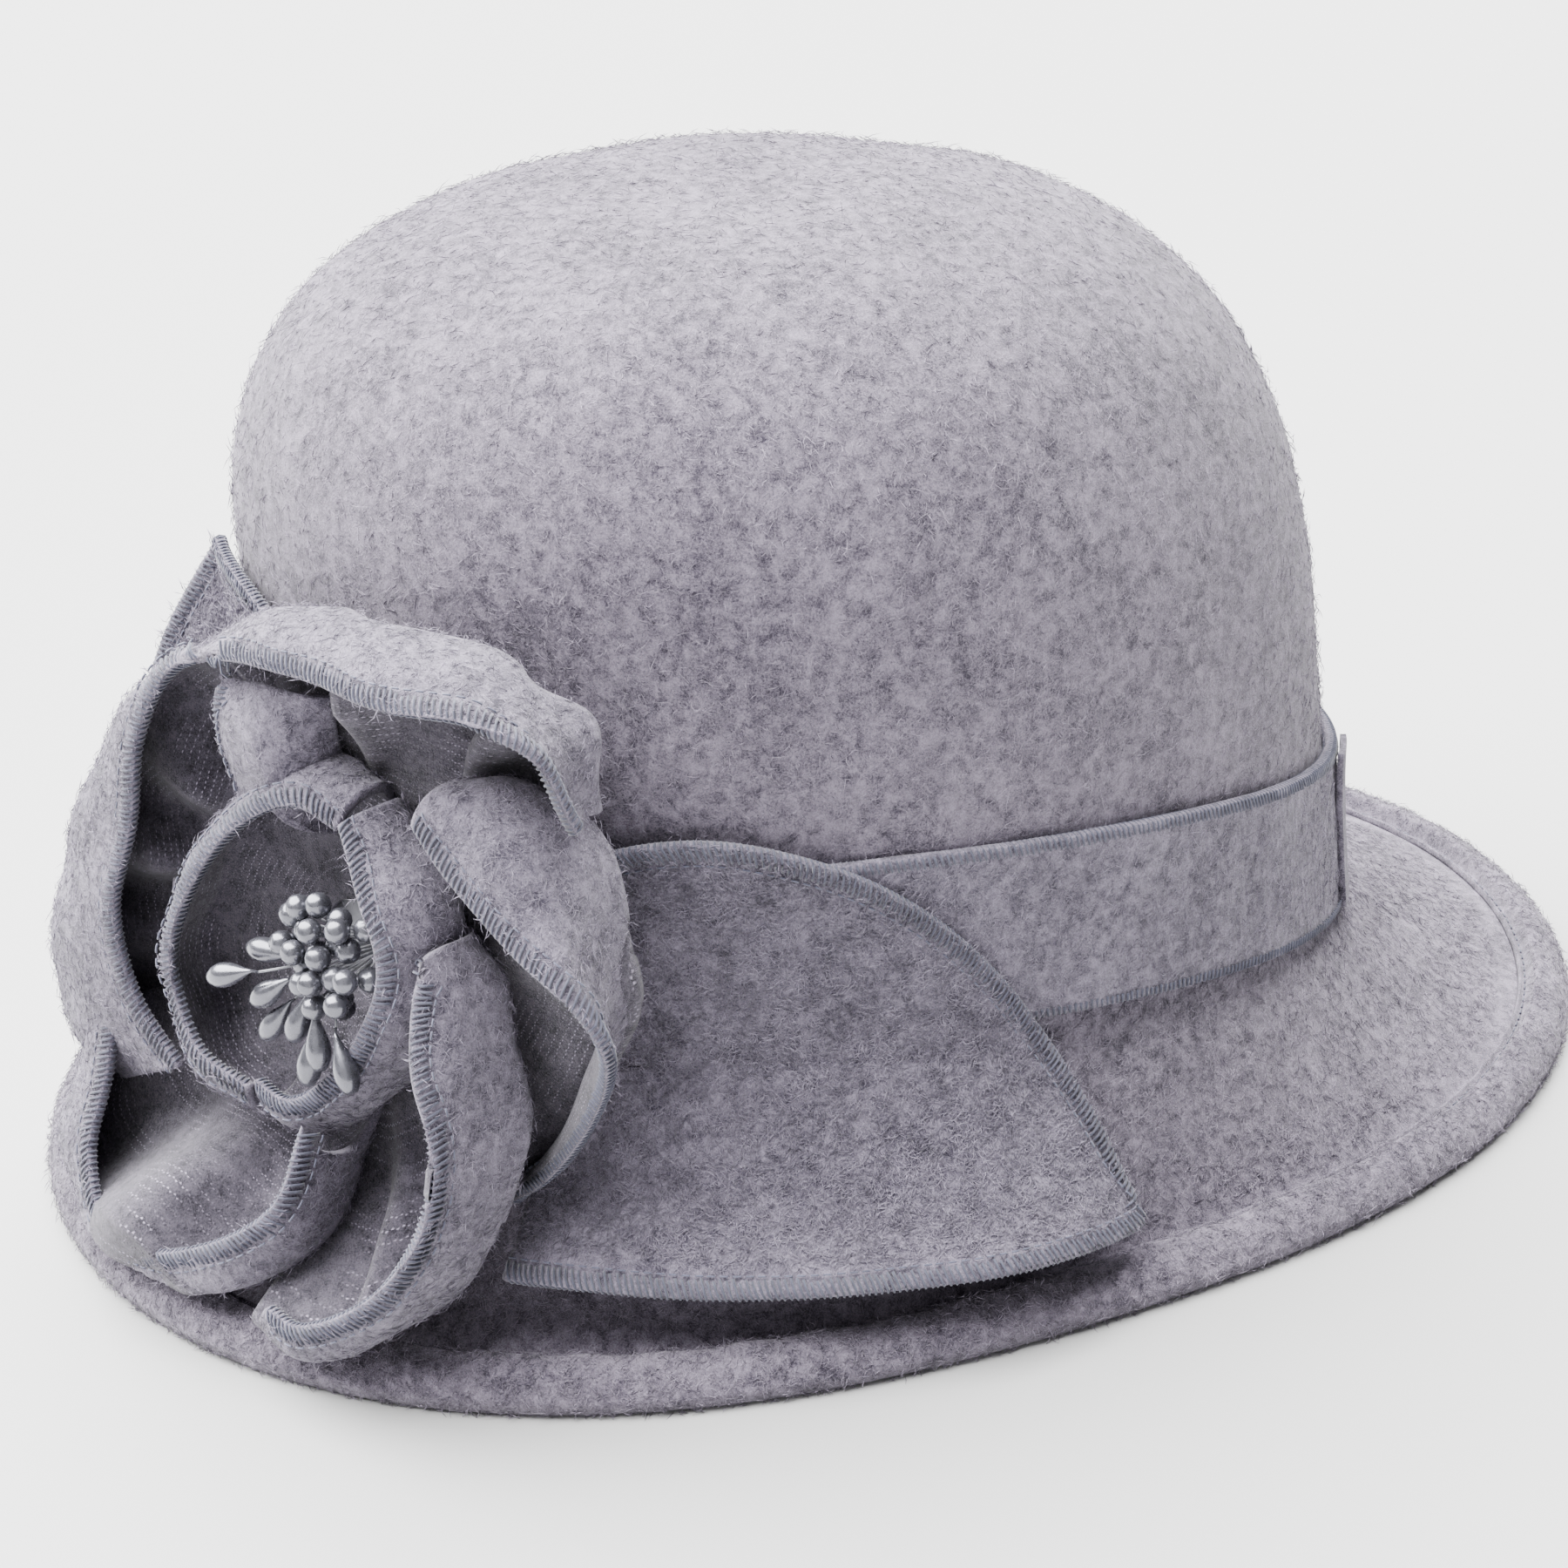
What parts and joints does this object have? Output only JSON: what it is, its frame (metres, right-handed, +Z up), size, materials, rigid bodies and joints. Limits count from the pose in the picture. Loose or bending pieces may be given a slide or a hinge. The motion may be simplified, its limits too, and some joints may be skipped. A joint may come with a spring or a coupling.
{
  "type": "felt cloche hat",
  "caption": "Wool felt cloche hat with a flared, hemmed brim, a knit hat band lapped at the back, and a fabric flower with leaves and pearl stamens.",
  "frame": {"origin": "middle of the hat's plan, on the surface that its brim stands on", "axes": "+Z up through the crown, -Y the way the wearer looks, +X the wearer's left, where the flower sits"},
  "size_m": [0.2258, 0.3186, 0.1819],
  "materials": {
    "felt": "heathered grey wool felt with a short nap",
    "knit": "grey boiled wool knit",
    "thread": "blue-grey wool thread",
    "ribbon": "dark grey grosgrain ribbon",
    "wire": "drawn steel",
    "stiffener": "stiffened felt",
    "pearl": "pearl lacquer"
  },
  "bodies": {
    "root": {"felt_body": "felt", "brim_binding": "felt", "brim_binding_stitch": "thread", "brim_wire": "wire", "hat_band": "knit", "band_lap": "knit", "band_upper_overlock": "thread", "band_lower_overlock": "thread", "sweatband": "ribbon", "sweatband_stitch": "thread", "sweatband_bow": "ribbon", "leaf_side": "knit", "leaf_side_overlock": "thread", "leaf_upper": "knit", "leaf_upper_overlock": "thread", "petal_upper_left": "knit", "petal_upper_left_overlock": "thread", "petal_top": "knit", "petal_top_overlock": "thread", "petal_right": "knit", "petal_right_overlock": "thread", "petal_lower_right": "knit", "petal_lower_right_overlock": "thread", "petal_lower_left": "knit", "petal_lower_left_overlock": "thread", "petal_cup_left": "knit", "petal_cup_left_overlock": "thread", "petal_cup_right": "knit", "petal_cup_right_overlock": "thread", "petal_fold": "knit", "petal_fold_overlock": "thread", "stamen_bundle": "pearl", "flower_base": "stiffener", "flower_tack": "thread"}
  },
  "joints": []
}
